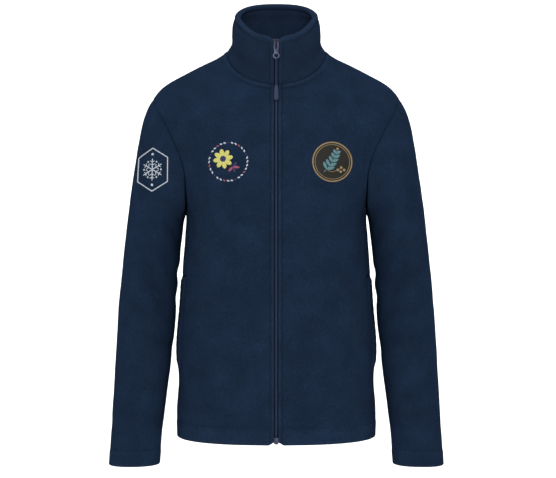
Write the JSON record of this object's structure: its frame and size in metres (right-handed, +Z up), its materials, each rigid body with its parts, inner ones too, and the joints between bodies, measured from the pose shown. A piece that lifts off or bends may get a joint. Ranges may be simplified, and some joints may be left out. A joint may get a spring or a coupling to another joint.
{
  "type": "zip-front fleece jacket",
  "caption": "Long-sleeved fleece jacket in its hollow worn form, with a stand collar, a full-length front zip with a corded pull, and in-seam side pockets.",
  "frame": {"origin": "midway between the wearer's two high shoulder points, in the hollow of the neck, where the jacket is held up", "axes": "+X towards the wearer's left, -Y out of the zip at the front, +Z up"},
  "size_m": [0.5944, 0.2629, 0.8315],
  "materials": {
    "fleece": "navy brushed polyester fleece",
    "zip_tape": "woven zip tape and nylon coil",
    "zip_metal": "gunmetal-grey coated metal",
    "puller_cord": "braided cord",
    "puller_grip": "moulded soft plastic"
  },
  "bodies": {
    "jacket": {"front_left": "fleece", "front_right": "fleece", "back": "fleece", "sleeve_left": "fleece", "sleeve_right": "fleece", "collar": "fleece", "pocket_welt_left": "fleece", "pocket_welt_right": "fleece", "pocket_bag_left": "fleece", "pocket_bag_right": "fleece", "zip_tape_left": "zip_tape", "zip_tape_right": "zip_tape", "zip_stop": "zip_tape", "zip_slider": "zip_metal"},
    "pull": {"pull_tab": "zip_metal", "puller_cord": "puller_cord", "puller_grip": "puller_grip"}
  },
  "joints": [
    {"name": "pull_tab_hinge", "type": "hinge", "parent": "jacket", "child": "pull", "pos_m": [0, -0.06844, 0.00236], "axis": [-1, 0, 0], "range_deg": [0, 150]}
  ]
}
